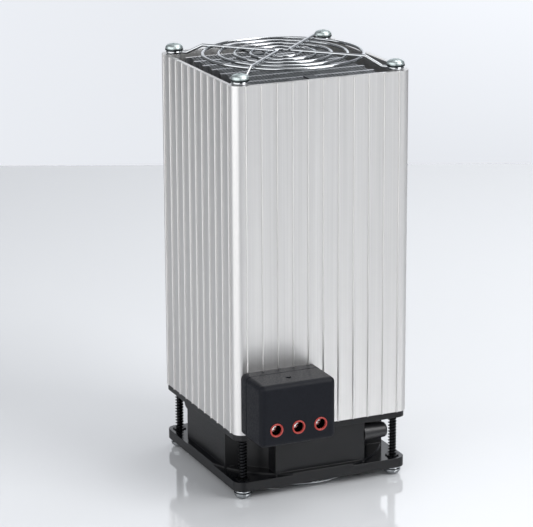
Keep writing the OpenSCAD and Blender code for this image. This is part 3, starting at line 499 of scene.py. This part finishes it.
def recessed(screw, top):
    """Sinks a tapered cross recess into a screw's crown, with its floor below the height top."""
    blades = []
    for turn in (0, math.pi / 2):
        bpy.ops.object.select_all(action="DESELECT")
        bpy.ops.mesh.primitive_cube_add(size=1, location=(0, 0, top / 1000), rotation=(0, 0, turn))
        blade = bpy.context.object
        blade.scale = [size / 1000 for size in RECESS]
        bpy.ops.object.transform_apply(location=True, rotation=True, scale=True)
        bpy.ops.object.mode_set(mode="EDIT")
        bpy.ops.mesh.select_all(action="DESELECT")
        bpy.ops.object.mode_set(mode="OBJECT")
        for face in blade.data.polygons:
            face.select = face.normal.z < -0.5
        bpy.ops.object.mode_set(mode="EDIT")
        bpy.ops.transform.resize(value=(RECESS_TAPER, RECESS_TAPER, 1))
        bpy.ops.object.mode_set(mode="OBJECT")
        blades.append(blade)
    for blade in blades:
        cut = screw.modifiers.new("recess", "BOOLEAN")
        cut.operation = "DIFFERENCE"
        cut.solver = "EXACT"
        cut.object = blade
        bpy.ops.object.select_all(action="DESELECT")
        screw.select_set(True)
        bpy.context.view_layer.objects.active = screw
        bpy.ops.object.modifier_apply(modifier=cut.name)
    bpy.ops.object.mode_set(mode="EDIT")
    bpy.ops.mesh.select_all(action="SELECT")
    bpy.ops.mesh.remove_doubles(threshold=SLIVER / 1000)
    bpy.ops.mesh.dissolve_degenerate(threshold=SLIVER / 1000)
    bpy.ops.object.mode_set(mode="OBJECT")
    bpy.ops.object.select_all(action="DESELECT")
    for blade in blades:
        blade.select_set(True)
    bpy.ops.object.delete()


def at_corners(screw, name, seat, tilt):
    """Repeats a screw at the four corner holes, each turned as it was driven home."""
    low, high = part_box("top_screws")
    reach = (high.x - low.x) / 2 - HEAD_R / 1000
    middle = (low.y + high.y) / 2
    corners = []
    for number, (sx, sy) in enumerate(((-1, -1), (1, -1), (1, 1), (-1, 1))):
        turn = math.radians(DRIVEN_TURN + DRIVEN_STEP * number)
        corners.append(((sx * reach, middle + sy * reach, seat / 1000), (tilt, 0, turn)))
    return repeated(screw, name, corners, SCREW_SHARP)


upper_dome = [(HEAD_R * wide, UPPER_HEAD * high) for wide, high in DOME]
upper = turned("upper_screw", UPPER_SHANK + upper_dome)
recessed(upper, UPPER_HEAD)
upper_screws = at_corners(upper, "upper_screws", UPPER_SEAT, 0)
upper_screws.data.materials.clear()
upper_screws.data.materials.append(zinc)
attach(upper_screws, "heater")
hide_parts("top_screws")

# Long screws: steel with the same head, which is a foot of the heater, on a thinner core.
# They come up through the fan's flanges into the casing's ports, and the deep thread between
# the flanges is rolled.
CORE_R = 1.7
LOWER_SHANK = [(1.3, -60.2), (CORE_R, -59), (CORE_R, -0.4), (2.6, 0)]
LOWER_SEAT = 3.8
THREAD_R = 2.75
THREAD_ROOT = 0.2  # how far the thread starts inside the core
THREAD_W = 1.4
THREAD_CREST = 0.25  # share of the width that is left at the crest
THREAD_STEPS = 24
PITCH = 2
TURNS = 14
FIRST_TURN = -36.2
HEAD_EDGE = 0.2  # how far above the seat the nickel ends
NEAR = 0.1  # points this close to the thread's edge are its crest

lower_dome = [(HEAD_R * wide, LOWER_SEAT * high) for wide, high in DOME]
lower = turned("lower_screw", LOWER_SHANK + lower_dome)
recessed(lower, LOWER_SEAT)
bpy.ops.object.select_all(action="DESELECT")
bpy.ops.mesh.primitive_plane_add(size=1, rotation=(math.pi / 2, 0, 0))
thread = bpy.context.object
thread.location = ((THREAD_R + CORE_R - THREAD_ROOT) / 2000, 0, FIRST_TURN / 1000)
thread.scale = ((THREAD_R - CORE_R + THREAD_ROOT) / 1000, THREAD_W / 1000, 1)
bpy.ops.object.transform_apply(location=True, rotation=True, scale=True)
outer = max(point.co.x for point in thread.data.vertices)
bpy.ops.object.mode_set(mode="EDIT")
bpy.ops.mesh.select_all(action="DESELECT")
bpy.ops.object.mode_set(mode="OBJECT")
for point in thread.data.vertices:
    point.select = point.co.x > outer - NEAR / 1000
bpy.ops.object.mode_set(mode="EDIT")
bpy.ops.transform.resize(value=(1, 1, THREAD_CREST))
bpy.ops.mesh.select_all(action="SELECT")
bpy.ops.mesh.delete(type="ONLY_FACE")
bpy.ops.object.mode_set(mode="OBJECT")
rolled = thread.modifiers.new("rolled thread", "SCREW")
rolled.axis = "Z"
rolled.steps = rolled.render_steps = THREAD_STEPS
rolled.iterations = TURNS
rolled.screw_offset = PITCH / 1000
bpy.ops.object.modifier_apply(modifier=rolled.name)
bpy.ops.object.mode_set(mode="EDIT")
bpy.ops.mesh.select_all(action="SELECT")
bpy.ops.mesh.fill_holes(sides=4)
bpy.ops.mesh.select_all(action="SELECT")
bpy.ops.mesh.normals_make_consistent(inside=False)
bpy.ops.object.mode_set(mode="OBJECT")
lower.select_set(True)
bpy.context.view_layer.objects.active = lower
bpy.ops.object.join()
lower_screws = at_corners(lower, "lower_screws", LOWER_SEAT, math.pi)

# Nickel gives the heads a clear mirror.
nickel = plated("bright nickel plate", "#85888a", "#a3a6a8", cloud_mm=3, rough=(0.1, 0.18))
# Black oxide leaves the thread dark, with a soft shine on its crests.
black_steel = plated("steel, black oxide", "#1d1d1f", "#2b2c2e", cloud_mm=2, rough=(0.24, 0.36))
lower_screws.data.materials.clear()
lower_screws.data.materials.append(nickel)
lower_screws.data.materials.append(black_steel)
head_top = (LOWER_SEAT + HEAD_EDGE) / 1000
for face in lower_screws.data.polygons:
    face.material_index = 0 if face.center.z < head_top else 1
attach(lower_screws, "heater")
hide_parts("bottom_screws")

# Washers: plain rings stamped from zinc-plated steel, under the heads of the upper screws.
# Dark toothed ones on the lower flange keep the long screws from falling out.
# The washers' zinc is painted dark, as painted shade under the bright heads.
zinc_with_painted_shade = plated("zinc plate, painted shade", "#33393a", "#4a5051", cloud_mm=1.5, rough=(0.34, 0.46))
dress(zinc_with_painted_shade, "top_washers")
dress(black_steel, "screw_retainers")

# Rail clip: a black snap clip, moulded in one piece with its sprung hook.
# Two flush screws hold it on the casing's back.
# Acetal has a smooth, slightly waxy shine.
clip_plastic = moulded("acetal, moulded", "#1c1d1f", "#27282b",
                       grain_mm=0.5, rough=(0.4, 0.52), depth_mm=0.03)
dress(clip_plastic, "rail_clip")
